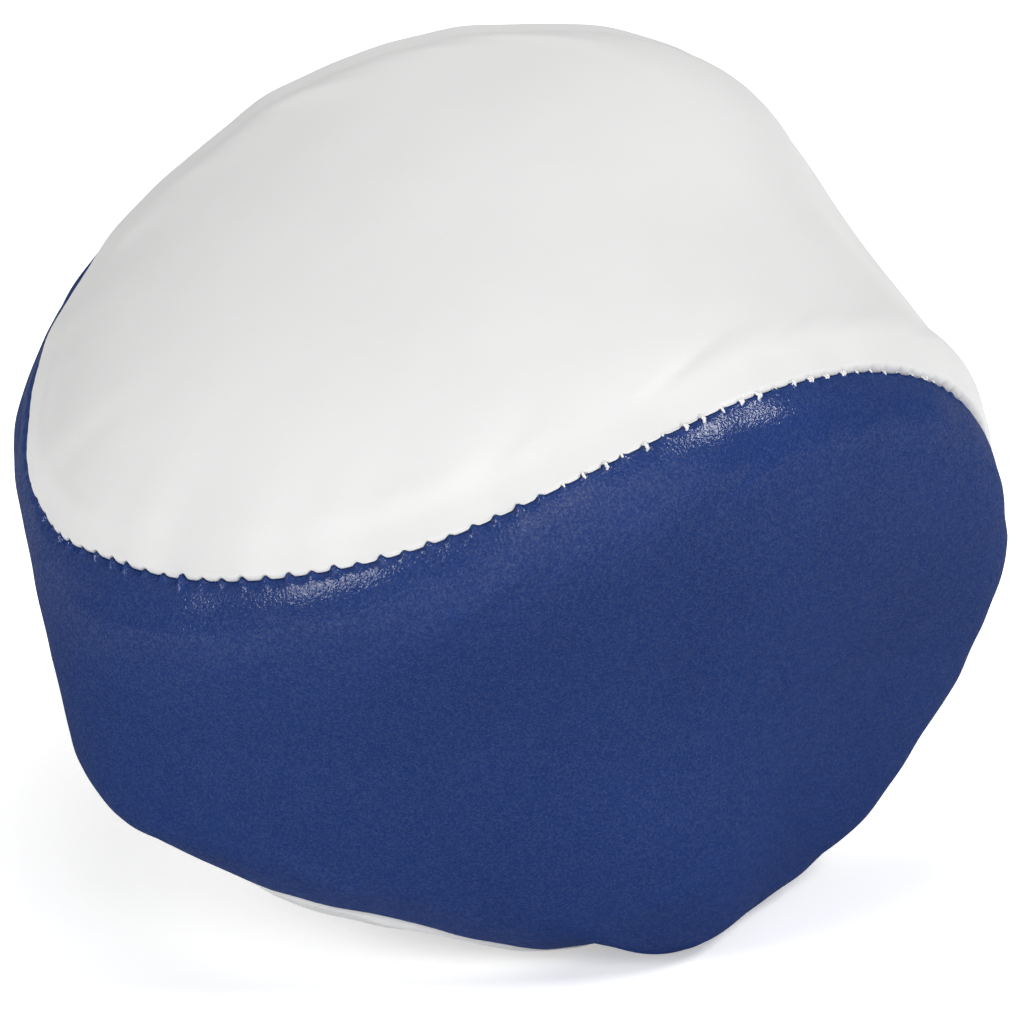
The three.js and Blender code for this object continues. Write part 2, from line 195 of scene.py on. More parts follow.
SEAM_SHIFT = (  # share of the way round the seam, how far the seam is drawn into the white panel
    (0.00, 0.0), (0.04, -0.2), (0.16, -0.2), (0.178, 0.0), (0.195, 0.4), (0.225, 0.5), (0.238, -0.2),
    (0.252, -0.5), (0.268, 0.4), (0.28, 0.3), (0.295, 0.1), (0.31, 0.0), (0.332, -0.3), (0.352, -0.1),
    (0.371, 0.0), (0.391, 0.0), (0.411, -0.1), (0.434, -0.1), (0.447, 0.1), (0.46, 0.4), (0.475, 0.5),
    (0.49, 0.8), (0.51, 1.2), (0.56, 1.4), (0.62, 1.2), (0.64, 0.2), (0.655, -0.2), (0.665, -0.5),
    (0.68, -0.6), (0.69, -0.3), (0.70, 0.2), (0.72, 1.2), (0.74, 1.5), (0.76, 1.3), (0.79, 0.0),
    (1.00, 0.0),
)
WHITE_TUCK = (  # share of the way round the seam, how far the white panel draws in beside it
    (0.00, 0.0), (0.07, 0.0), (0.10, -0.3), (0.17, -0.4), (0.20, 0.0), (0.38, 0.0), (0.44, -0.85),
    (0.48, -0.85), (0.52, 0.0), (0.645, 0.0), (0.66, -0.7), (0.69, -0.8), (0.70, -0.1), (0.71, 0.9),
    (0.72, 1.3), (0.76, 1.3), (0.79, 0.0), (1.00, 0.0),
)
TUCK_DISTANCE = 3.0  # from the seam to where the tuck is deepest
TUCK_SPREAD = 2.8
TABLE_BLUR = 2.0  # smooths the tables along the seam
SEAM_WAVES = ((3.9, 0.02), (6.1, 0.04), (10.3, 0.07))  # length and height of slow waves along the seam
WAVE_REACH = 6.0
SLACK_SIZE = 0.06
SLACK_SPACING = 17.0
SLACK_RANGE = (0.7, 1.5)  # times the spacing, from wave to wave
SLACK_WAVES = 9
CREASES = (  # of the blue panel: start, end, spread, millimetres outward
    ((5.9, -16.5, 4.3), (7.5, -16.9, 5.6), 0.8, 0.22),
    ((7.5, -16.9, 5.6), (10.2, -15.9, 6.7), 0.8, 0.18),
    ((6.3, -15.9, 3.3), (7.8, -16.4, 4.3), 0.7, -0.28),
)
STITCH_STYLE = (  # share of the way round the seam, share of the thread that shows, share of the full pinch
    (0.00, 0.2, 0.15), (0.20, 0.0, 0.15), (0.25, 0.0, 1.0), (0.345, 0.0, 1.0),
    (0.365, 0.8, 0.5), (0.44, 0.7, 0.4), (0.46, 0.1, 0.3), (0.52, 0.1, 0.2),
    (0.60, 0.0, 0.1), (0.76, 0.0, 0.1), (0.82, 0.4, 0.3), (1.00, 0.2, 0.15),
)

# Looks: places on a noise's scale with their colours, and single colours
WHITE_TONES = ((0.35, (0.785, 0.785, 0.78)), (0.65, (0.805, 0.805, 0.80)))
# grey of the white panel down in the groove beside the seam
WHITE_IN_GROOVE = (0.74, 0.74, 0.74)
BLUE_TONES = ((0.3, (0.0066, 0.0276, 0.136)), (0.7, (0.0084, 0.0318, 0.151)))
# lighter flecks of the blue's grain, which also paint a still sparkle into the colour
BLUE_GRAIN_AND_PAINTED_SPARKLE = (0.026, 0.064, 0.235)
GLINTS = ((0.35, (0.03, 0.03, 0.03)), (0.95, (0.085, 0.085, 0.085)))  # gloss of the blue grain's flecks
EDGE_POLISH = 1.55  # the vinyl drawn tight beside the seam is glossier
THREAD_TONES = ((0.3, (0.84, 0.84, 0.82)), (0.7, (0.93, 0.93, 0.92)))
PELLET_TONES = ((0.35, (0.68, 0.68, 0.6)), (0.65, (0.78, 0.78, 0.71)))

# Stage and light
FLOOR_HALF = 3000
FLOOR_DROP = 0.05
FLOOR_NEAR = 24  # where the floor starts to grow paler, away from the bag's shadow; nearer in, the weaker glow paints deeper shade round the bag
FLOOR_FAR = 60
# the floor's glow near the bag, kept low so that it paints deeper shade there
FLOOR_GLOW_IN_PAINTED_SHADE = 0.40
FLOOR_LIFT_FAR = 0.9
FLOOR_BOUNCE = (0.92, 0.92, 0.92, 1)
WHITE = (1, 1, 1, 1)
AMBIENT = 0.22
BACKDROP = 1.0
LAMP_DISTANCE = 600
LAMP_AIM = Vector((0, 0, 20))
LAMPS = (  # name, degrees right of the front, degrees up, width, watts
    ("overhead", 0, 75, 260, 0.15),
    ("front", 6, 36, 240, 0.25),
    ("front_right", 24, 4, 900, 1.9),
    ("right", 74, 46, 170, 1.45),
    ("left", -46, 27, 220, 1.3),
)

# Camera, as the photograph was taken
CAMERA_ELEVATION = 20
CAMERA_DISTANCE = 385
SENSOR_WIDTH = 36
CLIP_START = 0.01  # metres
PIXELS_PER_MM = 480 / 27.5  # the photograph's scale at the middle of the bag
IMAGE_SIZE = 1024
BODY_PIXEL = (511.4, 491.3)  # where the middle of the bag shows

edge_start = SEAM_GAP / 2
wall_start = edge_start + PANEL_THICKNESS
bend_outside = BEND_RADIUS + PANEL_THICKNESS
bend_start = edge_start + bend_outside


def unit(vectors):
    length = np.linalg.norm(vectors, axis=-1, keepdims=True)
    return vectors / np.where(length > 0, length, 1)


def dot(first, second):
    return np.sum(first * second, axis=-1)


def bell(distance, spread):
    return np.exp(-((distance / spread) ** 2))


# Where the seam and the two panels run before the bag settles


def seam_point(angle):
    ring = (WAIST_HALF_WIDTH + SEAM_REACH) / 2
    swing = (WAIST_HALF_WIDTH - SEAM_REACH) / 2 - LOBE_FULLNESS
    x = (SEAM_HALF_LENGTH - END_FULLNESS) * np.cos(2 * angle) + END_FULLNESS * np.cos(6 * angle)
    y = ring * np.cos(angle) + swing * np.cos(3 * angle) + LOBE_FULLNESS * np.cos(5 * angle)
    z = ring * np.sin(angle) - swing * np.sin(3 * angle) + LOBE_FULLNESS * np.sin(5 * angle)
    return np.stack([x, y, z], axis=-1)


def first_panel_point(angle, share):
    along = np.arcsin(np.sin(angle))
    section = along * (1 - SPINE_INSET * (1 - share))
    edge = seam_point(section)
    slope = seam_point(section + SLOPE_PROBE) - seam_point(section - SLOPE_PROBE)
    outward = unit(np.stack([slope[..., 2], np.zeros_like(section), -slope[..., 0]], axis=-1))
    half_width = np.maximum(np.abs(edge[..., 1]), np.finfo(float).eps)
    across = share * np.abs(seam_point(along)[..., 1])
    crown = LOBE_BULGE * half_width / (SEAM_REACH * math.sqrt(0.5)) * np.sin(section) ** 2
    point = np.stack([edge[..., 0], np.sign(np.cos(angle)) * across, edge[..., 2]], axis=-1)
    return point + outward * (crown * (1 - (across / half_width) ** 2))[..., None]


def second_panel_point(angle, share):
    point = first_panel_point(angle - math.pi / 2, share)
    return np.stack([-point[..., 0], -point[..., 2], point[..., 1]], axis=-1)


# How the filled bag settles

pose = np.array(Euler([math.radians(turn) for turn in POSE_DEGREES], "ZYX").to_matrix())


def direction_to(azimuth, elevation):
    azimuth, elevation = math.radians(azimuth), math.radians(elevation)
    level = math.cos(elevation)
    return np.array([math.sin(azimuth) * level, -math.cos(azimuth) * level, math.sin(elevation)])


def slump(point, dents):
    x, y, z = np.moveaxis(point @ pose.T, -1, 0)
    sagged = np.stack([x + LEAN * z, y, z * (1 - SAG) - x ** 2 / (2 * DROOP_RADIUS)], axis=-1)
    settled = sagged.copy()
    heading = unit(sagged)
    for azimuth, elevation, spread, push in dents:
        direction = direction_to(azimuth, elevation)
        away = np.arccos(np.clip(heading @ direction, -1, 1))
        settled += direction * (push * bell(away, math.radians(spread)))[..., None]
    return settled


ground_angles = TURN * np.arange(GROUND_STEPS) / GROUND_STEPS
ground_shares = np.linspace(0, 1, GROUND_ROWS)[:, None]
samples = np.concatenate([
    slump(point_at(ground_angles[None, :], ground_shares * np.ones(GROUND_STEPS)), DENTS).reshape(-1, 3)
    for point_at in (first_panel_point, second_panel_point)
])
ground = samples[:, 2].min() + FLOOR_PRESS
middle = (samples.min(axis=0) + samples.max(axis=0)) / 2


def settle(point):
    settled = slump(point, DENTS + LOCAL_DENTS)
    height = settled[..., 2] - ground
    blend = np.clip(height + FLOOR_BLEND, 0, 2 * FLOOR_BLEND)
    pressed = np.where(height > FLOOR_BLEND, height, blend ** 2 / (4 * FLOOR_BLEND))
    x = settled[..., 0] - middle[0] - FOOTPRINT[0]
    y = settled[..., 1] - middle[1] - FOOTPRINT[1]
    return np.stack([x, y, pressed + PANEL_PUFF], axis=-1)


# Lines across the panels, evenly spaced along the seam


def even_angles():
    fine = np.linspace(0, TURN, ARC_SAMPLES + 1)
    lengths = np.linalg.norm(np.diff(seam_point(fine), axis=0), axis=1)
    reached = np.concatenate([[0], np.cumsum(lengths)])
    return np.interp(np.arange(SEAM_STEPS) * reached[-1] / SEAM_STEPS, reached, fine)


angles = even_angles()
seam_line = settle(seam_point(angles))
seam_length = np.linalg.norm(seam_line - np.roll(seam_line, -1, axis=0), axis=1).sum()
step_length = seam_length / SEAM_STEPS
along_step = np.roll(seam_line, -1, axis=0) - np.roll(seam_line, 1, axis=0)
angle_step = (np.roll(angles, -1) - np.roll(angles, 1)) % TURN
seam_speed = np.linalg.norm(along_step, axis=1) / angle_step
tangent = unit(along_step)


def smooth_step(value):
    part = np.clip(value, 0, 1)
    return part * part * (3 - 2 * part)


def square_offset(point_at, share, line_angles):
    offset = settle(point_at(line_angles, share)) - seam_line
    return offset - tangent * dot(offset, tangent)[:, None]


def share_at(point_at, distance, line_angles):
    low = np.zeros(SEAM_STEPS)
    high = np.ones(SEAM_STEPS)
    for _ in range(HALVINGS):
        share = (low + high) / 2
        too_far = np.linalg.norm(square_offset(point_at, share, line_angles), axis=1) > distance
        low = np.where(too_far, share, low)
        high = np.where(too_far, high, share)
    return (low + high) / 2


def blurred(values, spread):
    steps = np.arange(SEAM_STEPS)
    away = np.minimum(steps, SEAM_STEPS - steps) * step_length
    weight = bell(away, spread)
    kernel = np.fft.fft(weight / weight.sum())[:, None]
    return np.fft.ifft(np.fft.fft(values, axis=0) * kernel, axis=0).real


def along_table(table):
    turns, values = np.array(table).T
    return blurred(np.interp(np.arange(SEAM_STEPS) / SEAM_STEPS, turns, values)[:, None], TABLE_BLUR)


def into_panel(point_at):
    edge_share = share_at(point_at, EDGE_CHORD, angles)
    inside = blurred(unit(square_offset(point_at, edge_share, angles)), FRAME_BLUR)
    return unit(inside - tangent * dot(inside, tangent)[:, None])


into_white = into_panel(first_panel_point)
into_blue = into_panel(second_panel_point)
seam_shift = along_table(SEAM_SHIFT)
blue_lip = along_table(EDGE_LIP)[:, 0]
white_tuck = along_table(WHITE_TUCK)[:, 0]
seam_line = seam_line + np.where(seam_shift > 0, into_white, -into_blue) * seam_shift
sideways = unit(into_white - into_blue)
outward = unit(np.cross(tangent, sideways))
slope_angle = np.arcsin(-dot(into_white, outward))
ridge_lead = PANEL_PUFF * np.tan(slope_angle)  # how far past the seam the outer faces would meet
bend_height = (PANEL_PUFF - bend_outside * (1 + np.sin(slope_angle))) / np.cos(slope_angle)
groove_height = PANEL_PUFF / np.cos(slope_angle) - GROOVE_DEPTH - EDGE_DIP
groove_lead = (GROOVE_DEPTH + EDGE_DIP) * np.sin(slope_angle)  # from the ridge back to over the groove
groove_below = (GROOVE_DEPTH + EDGE_DIP) * np.cos(slope_angle)  # depth of the groove below each outer face
roll_start = groove_lead + ROLL_EDGE  # from the ridge to where the roll of each edge starts

# Where the stitches lie, in steps along the seam

closing_middle = np.interp(math.radians(CLOSING_CENTRE), angles, np.arange(SEAM_STEPS))
closing_steps = CLOSING_LENGTH / step_length
closing_from = closing_middle - closing_steps / 2
closing_to = closing_middle + closing_steps / 2


def stitch_places(start, end, pitch, jitter, seed):
    count = round((end - start) * step_length / pitch)
    even = np.linspace(start, end, count + 1)
    shift = np.random.default_rng(seed).normal(0, jitter / step_length, count + 1)
    shift[[0, -1]] = 0
    return even + shift


machine_from = closing_to + CLOSING_MARGIN
machine_to = closing_from + SEAM_STEPS - CLOSING_MARGIN
machine_stitches = stitch_places(machine_from, machine_to, STITCH_PITCH, STITCH_JITTER, STITCH_SEED)
hand_stitches = stitch_places(closing_from, closing_to, CLOSING_PITCH, CLOSING_JITTER, CLOSING_SEED)


def stitch_style(places, seed):
    turns, shows, pinches = np.array(STITCH_STYLE).T
    around = places / SEAM_STEPS % 1
    random = np.random.default_rng(seed)
    show = np.interp(around, turns, shows) * random.uniform(*SHOW_RANGE, len(places))
    pinch = np.interp(around, turns, pinches) * random.uniform(*PINCH_RANGE, len(places))
    return np.clip(show, 0, 1), pinch


machine_shows, machine_pinches = stitch_style(machine_stitches, STYLE_SEED)
hand_shows = np.ones(len(hand_stitches))
hand_pinches = np.full(len(hand_stitches), CLOSING_PINCH)
steps_away = np.arange(SEAM_STEPS)[:, None] - np.concatenate([machine_stitches, hand_stitches])[None, :]
steps_away = np.abs((steps_away + SEAM_STEPS / 2) % SEAM_STEPS - SEAM_STEPS / 2)
nearest_stitch = steps_away.argmin(axis=1)
stitched = bell(steps_away.min(axis=1) * step_length, PINCH_SPREAD)
shown = stitched * np.concatenate([machine_shows, hand_shows])[nearest_stitch]
pinched = stitched * np.concatenate([machine_pinches, hand_pinches])[nearest_stitch]
pinch_shift = sideways * (PINCH * pinched)[:, None]
meeting = seam_line + pinch_shift + outward * groove_height[:, None]


def seam_waves(seed):
    turns = TURN * np.arange(SEAM_STEPS) / SEAM_STEPS
    phases = np.random.default_rng(seed).uniform(0, TURN, len(SEAM_WAVES))
    wave = np.zeros(SEAM_STEPS)
    for (length, height), phase in zip(SEAM_WAVES, phases):
        wave += height * np.sin(round(seam_length / length) * turns + phase)
    return wave


# Soft unevenness of a slack skin, as waves that run through space in all directions


def slack(points, seed):
    random = np.random.default_rng(seed)
    total = np.zeros(points.shape[:-1])
    for _ in range(SLACK_WAVES):
        heading = unit(random.normal(size=3))
        pitch = SLACK_SPACING * random.uniform(*SLACK_RANGE)
        total += np.sin(points @ heading * TURN / pitch + random.uniform(0, TURN))
    return SLACK_SIZE * total / math.sqrt(SLACK_WAVES)


def line_relief(points, lines):
    total = np.zeros(points.shape[:-1])
    for start, end, spread, push in lines:
        along = np.subtract(end, start)
        share = np.clip((points - start) @ along / (along @ along), 0, 1)
        away = np.linalg.norm(points - start - share[..., None] * along, axis=-1)
        total += push * bell(away, spread)
    return total


def white_edge(distance, columns):
    dip = EDGE_DIP * bell(distance, WHITE_DIP_REACH)
    return -dip - white_tuck[columns] * bell(distance - TUCK_DISTANCE, TUCK_SPREAD)


def blue_edge(distance, columns):
    lip = blue_lip[columns]
    past_groove = np.maximum(distance - groove_lead[columns], 0)
    turned_over = (lip + groove_below[columns]) * np.exp(-past_groove / LIP_ROUNDING)
    return lip * bell(distance, LIP_REACH) - turned_over


# The corners of each four-sided face between closed rings of points, and the faces themselves


def ring_corners(index):
    a, d = index[:-1], index[1:]
    b, c = np.roll(a, -1, axis=1), np.roll(d, -1, axis=1)
    return a, b, c, d


def ring_faces(index):
    return np.stack([corner.ravel() for corner in ring_corners(index)], axis=1).tolist()


# One panel: its puffed outer face, the rolled edge, the turned-in allowance and the inner face


class Panel:
    def __init__(self, point_at, side, quarter, into, edge_relief, lines, seed):
        self.point_at = point_at
        self.side = side  # 1 for the white panel, -1 for the blue one
        self.quarter = quarter  # steps by which the panel is turned round the seam
        self.into = into
        self.edge_relief = edge_relief
        self.lines = lines
        self.waves = seam_waves(seed)
        self.seed = seed

    # The column that meets a column at the spine
    def mate(self, steps):
        return (SEAM_STEPS // 2 + 2 * self.quarter - steps) % SEAM_STEPS

    def merged(self, steps):
        return np.minimum(steps, self.mate(steps))

    def square_row(self, distance):
        return seam_line + self.into * np.reshape(distance, (-1, 1))

    # Up to SQUARE_REACH a row runs square to the seam, and from twice that it lies on the settled panel
    def near_row(self, distance):
        reach = np.maximum(distance, SQUARE_REACH)
        share = share_at(self.point_at, reach, angles)
        point = settle(self.point_at(angles, share))
        ease = smooth_step((reach - SQUARE_REACH) / (NEAR_REACH - SQUARE_REACH))
        wanted_drift = ease * dot(point - seam_line, tangent)
        line_angles = angles
        for _ in range(SQUARE_ROUNDS):
            drift = dot(point - seam_line, tangent) - wanted_drift
            line_angles = line_angles - drift / seam_speed
            share = share_at(self.point_at, reach, line_angles)
            point = settle(self.point_at(line_angles, share))
        on_panel = smooth_step(distance / SQUARE_REACH - 1)[:, None]
        return self.square_row(distance) * (1 - on_panel) + point * on_panel

    def surface(self):
        start = roll_start - ridge_lead
        near_share = share_at(self.point_at, NEAR_REACH, angles)
        rows, distances = [], []
        for place in np.arange(MIDDLE_ROWS) / MIDDLE_ROWS:
            share = place * near_share
            rows.append(settle(self.point_at(angles, share)))
            distances.append(np.linalg.norm(square_offset(self.point_at, share, angles), axis=1))
        for place in np.linspace(1, 0, NEAR_ROWS):
            distance = start + (NEAR_REACH - start) * place ** NEAR_GRADING
            rows.append(self.near_row(distance))
            distances.append(distance)
        return np.stack(rows), np.stack(distances) + ridge_lead

    def normals(self, rows):
        points = rows.reshape(-1, 3)
        index = np.arange(len(points)).reshape(len(rows), SEAM_STEPS)
        index[0] = self.merged(index[0])
        a, b, c, d = ring_corners(index)
        face = self.side * np.cross(points[c] - points[a], points[b] - points[d])
        total = np.zeros_like(points)
        for corner in (a, b, c, d):
            np.add.at(total, corner, face)
        total[:SEAM_STEPS] = total[index[0]]
        facing = unit(total).reshape(rows.shape)
        on_floor = rows[..., 2] == PANEL_PUFF
        facing[on_floor] = (0, 0, -1)
        return facing

    def side_relief(self, distance, columns):
        waves = self.waves[columns] * bell(distance, WAVE_REACH)
        return self.edge_relief(distance, columns) + waves

    # The seam on each side of a panel shapes the skin between, so that both halves meet at the spine
    def relief(self, rows, distance):
        columns = np.arange(SEAM_STEPS)
        mates = self.mate(columns)
        across = distance[0] + distance[0][mates] - distance
        sides = self.side_relief(distance, columns) + self.side_relief(across, mates)
        return sides + slack(rows, self.seed) + line_relief(rows, self.lines)

    def roll(self, outer):
        start = outer[-1]
        away = sideways * self.side
        lift = PEAK_LIFT * pinched if self.side < 0 else -NOTCH * shown
        roll_out = WHITE_ROLL_OUT if self.side > 0 else BLUE_ROLL_OUT
        end = meeting + away * ROLL_GAP + outward * (lift - EDGE_TUCK)[:, None]
        length = np.linalg.norm(end - start, axis=1)[:, None]
        leave = start + unit(outer[-1] - outer[-2]) * length * ROLL_HANDLE
        arrive = end + (outward * ROLL_UP + away * roll_out) * length * ROLL_HANDLE
        rows = []
        for share in np.linspace(0, 1, ROLL_ROWS + 1)[1:]:
            left = 1 - share
            rows.append(
                left ** 3 * start + 3 * left ** 2 * share * leave
                + 3 * left * share ** 2 * arrive + share ** 3 * end
            )
        return rows

    def wall_row(self, distance, height):
        return seam_line + sideways * self.side * distance + outward * (bend_height + height)[:, None]

    def inner_bend(self, share):
        facing = np.cross(tangent, self.into) * self.side
        turn = share * (math.pi / 2 + slope_angle)[:, None]
        return self.wall_row(bend_start, np.zeros(SEAM_STEPS)) + BEND_RADIUS * (
            facing * np.cos(turn) - self.into * np.sin(turn)
        )

    def rows(self):
        rows, distance = self.surface()
        beyond = self.square_row(roll_start - ridge_lead - ROLL_EDGE)
        normals = self.normals(np.concatenate([rows, beyond[None]]))[:-1]
        relief = self.relief(rows, distance)
        drawn = pinch_shift[None] * bell(distance, PINCH_REACH)[..., None]
        outer = rows + drawn + normals * (PANEL_PUFF + relief)[..., None]
        inner = rows + normals * (PANEL_PUFF - PANEL_THICKNESS)
        coarse = slice(None, None, COARSE)
        made = [(row[coarse], reach[coarse]) for row, reach in zip(outer[:MIDDLE_ROWS], distance)]
        made.extend(zip(outer[MIDDLE_ROWS:], distance[MIDDLE_ROWS:]))
        for row, left in zip(self.roll(outer), np.linspace(1, 0, ROLL_ROWS + 1)[1:]):
            made.append((row, np.full(SEAM_STEPS, ROLL_EDGE * left)))
        allowance = np.full(SEAM_STEPS, -SEAM_ALLOWANCE)
        hidden = [self.wall_row(away, allowance) for away in (edge_start, wall_start)]
        hidden.extend(self.inner_bend(share) for share in (1, 0.5, 0))
        kept = np.linspace(MIDDLE_ROWS + INNER_START, 0, INNER_ROWS).round().astype(int)
        hidden.extend(inner[row] for row in kept)
        made.extend((row[coarse], np.zeros(SEAM_STEPS // COARSE)) for row in hidden)
        return made

    def build(self):
        points, reach, index, count = [], [], [], 0
        for row, distance in self.rows():
            points.append(row)
            reach.append(distance)
            index.append(np.arange(len(row)) + count)
            count += len(row)
        spine = self.merged(np.arange(0, SEAM_STEPS, COARSE)) // COARSE
        index[0] = index[0][spine]
        index[-1] = index[-1][spine]
        faces = []
        for first, second in zip(index, index[1:]):
            faces.extend(strip(first.tolist(), second.tolist(), self.side < 0))
        points = np.concatenate(points)
        points[:, 2] = np.maximum(points[:, 2], 0)
        return points, faces, np.concatenate(reach)


# The faces between two closed rows, where one row may have several points to each of the other's


def strip(first, second, forward):
    cells = min(len(first), len(second))
    first_per_cell = len(first) // cells
    second_per_cell = len(second) // cells
    first = first + first[:1]
    second = second + second[:1]
    for cell in range(cells):
        there = first[cell * first_per_cell:(cell + 1) * first_per_cell + 1]
        back = second[cell * second_per_cell:(cell + 1) * second_per_cell + 1][::-1]
        face = there + back
        yield face if forward else face[::-1]


white = Panel(first_panel_point, 1, 0, into_white, white_edge, (), WHITE_SEED)
blue = Panel(second_panel_point, -1, SEAM_STEPS // 4, into_blue, blue_edge, CREASES, BLUE_SEED)

# Meshes


def add_mesh(name, points, faces, material):
    mesh = bpy.data.meshes.new(name)
    mesh.from_pydata((np.asarray(points) * MM).tolist(), [], faces)
    mesh.polygons.foreach_set("use_smooth", [True] * len(mesh.polygons))
    mesh.materials.append(material)
    mesh.update()
    piece = bpy.data.objects.new(name, mesh)
    bpy.context.scene.collection.objects.link(piece)
    return piece


# Leaves out the points that no face uses


def compact(points, faces, values):
    used = np.unique(np.concatenate([np.array(face) for face in faces]))
    packed = np.zeros(len(points), dtype=int)
    packed[used] = np.arange(len(used))
    packed = packed.tolist()
    return points[used], [[packed[corner] for corner in face] for face in faces], values[used]


def add_panel(name, panel, material):
    points, faces, reach = compact(*panel.build())
    piece = add_mesh(name, points, faces, material)
    attribute = piece.data.attributes.new("seam_distance", "FLOAT", "POINT")
    attribute.data.foreach_set("value", reach.astype(np.float32))
    return piece


# A tube of the given radius along a path, closed flat at both ends


def tube(path, radius, sides):
    forward = unit(np.gradient(path, axis=0))
    side = np.zeros_like(path)
    side[0] = unit(np.cross(forward[0], TUBE_HINT))
    for ring in range(1, len(path)):
        carried = side[ring - 1] - forward[ring] * dot(side[ring - 1], forward[ring])
        side[ring] = carried / np.linalg.norm(carried)
    up = np.cross(forward, side)
    turns = TURN * np.arange(sides) / sides
    rings = path[:, None] + radius * (
        side[:, None] * np.cos(turns)[None, :, None] + up[:, None] * np.sin(turns)[None, :, None]
    )
    index = np.arange(len(path) * sides).reshape(len(path), sides)
    faces = ring_faces(index)
    faces.append(index[0][::-1].tolist())
    faces.append(index[-1].tolist())
    return rings.reshape(-1, 3), faces


def ply_path(path, twist_phase):
    forward = unit(np.gradient(path, axis=0))
    travelled = np.concatenate([[0], np.cumsum(np.linalg.norm(np.diff(path, axis=0), axis=1))])
    side = unit(np.cross(forward, np.roll(forward, 1, axis=0) + PLY_HINT))
    up = np.cross(forward, side)
    turn = (TURN * travelled / PLY_TWIST + twist_phase)[:, None]
    return path + PLY_RADIUS * PLY_SHARE * (side * np.cos(turn) + up * np.sin(turn))


def two_plies(path, sides):
    return [tube(ply_path(path, phase), PLY_RADIUS, sides) for phase in (0, math.pi)]


def join(parts):
    points, faces, start = [], [], 0
    for part_points, part_faces in parts:
        points.append(part_points)
        faces.extend([corner + start for corner in face] for face in part_faces)
        start += len(part_points)
    return np.concatenate(points), faces


def along_seam(values, place):
    low = np.floor(place).astype(int)
    part = (place - low).reshape(-1, *[1] * (values.ndim - 1))
    return values[low % SEAM_STEPS] * (1 - part) + values[(low + 1) % SEAM_STEPS] * part


# Thread that winds through both edges and shows as a bar across the groove at each stitch


def stitch_path(places, tops, half_width, lean, slant, rings):
    stitch = np.arange(len(places))
    turn = np.linspace(0, len(places) - 1, (len(places) - 1) * rings + 1)
    slowed = turn - slant * np.sin(TURN * turn) / TURN
    place = np.interp(slowed, stitch, places)
    top = tops[np.round(turn).astype(int)]
    height = THREAD_BOTTOM + (top - THREAD_BOTTOM) * (1 + np.cos(TURN * turn)) / 2
    away = half_width * np.sin(TURN * turn) - lean
    path = along_seam(meeting, place) + along_seam(sideways, place) * away[:, None]
    path = path + along_seam(outward, place) * height[:, None]
    path[:, 2] = np.maximum(path[:, 2], 2 * PLY_RADIUS)
    return path


def knot_path(place):
    turn = np.linspace(0, TURN, KNOT_POINTS)
    across = np.sin(turn) + 2 * np.sin(2 * turn)
    along = np.cos(turn) - 2 * np.cos(2 * turn)
    lift = -np.sin(3 * turn)
    here = np.array([place])
    centre = along_seam(meeting, here) + along_seam(outward, here) * KNOT_HEIGHT
    parts = along_seam(sideways, here) * across[:, None] + along_seam(tangent, here) * along[:, None]
    return centre + KNOT_SIZE * (parts + along_seam(outward, here) * lift[:, None])


def machine_thread(material):
    tops = HIDDEN_TOP + SHOWN_RISE * machine_shows
    path = stitch_path(machine_stitches, tops, **MACHINE_STITCH)
    return add_mesh("seam_stitches", *join(two_plies(path, MACHINE_SIDES)), material)


def hand_thread(material):
    tops = np.full(len(hand_stitches), CLOSING_TOP)
    path = stitch_path(hand_stitches, tops, **HAND_STITCH)
    knot = tube(knot_path(hand_stitches[-1]), KNOT_RADIUS, HAND_SIDES)
    return add_mesh("closing_stitches", *join([*two_plies(path, HAND_SIDES), knot]), material)


# Pellets: cut lentils of plastic


def pellet_mesh(sides, rings):
    turns = TURN * np.arange(sides) / sides
    tilt = np.linspace(-math.pi / 2, math.pi / 2, rings + 1)[1:-1]
    wide = PELLET_DIAMETER / 2 * np.cos(tilt) ** PELLET_SQUARENESS
    high = PELLET_HEIGHT / 2 * np.sign(np.sin(tilt)) * np.abs(np.sin(tilt)) ** PELLET_SQUARENESS
    body = np.stack([
        wide[:, None] * np.cos(turns), wide[:, None] * np.sin(turns), high[:, None] * np.ones(sides),
    ], axis=-1).reshape(-1, 3)
    ends = np.array([[0, 0, -PELLET_HEIGHT / 2], [0, 0, PELLET_HEIGHT / 2 - PELLET_DIMPLE]])
    points = np.concatenate([body, ends])
    index = np.arange(len(body)).reshape(len(tilt), sides)
    faces = ring_faces(index)
    low, top = len(body), len(body) + 1
    for step in range(sides):
        after = (step + 1) % sides
        faces.append([low, index[0][after], index[0][step]])
        faces.append([top, index[-1][step], index[-1][after]])
    return points, faces


def turned(points, random):
    turns = random.uniform(0, TURN, 3)
    return points @ np.array(Euler(turns).to_matrix()).T


def is_inside(tree, spot):
    hits = 0
    up = Vector((0, 0, 1))
    found = tree.ray_cast(spot, up)[0]
    while found is not None:
        hits += 1
        found = tree.ray_cast(found + up * RAY_STEP * MM, up)[0]
    return hits % 2 == 1


def tree_of(piece):
    mesh = piece.data
    return BVHTree.FromPolygons([v.co for v in mesh.vertices], [tuple(p.vertices) for p in mesh.polygons])


def clear_of(trees, spot, distance):
    return all(tree.find_nearest(spot)[3] > distance for tree in trees)


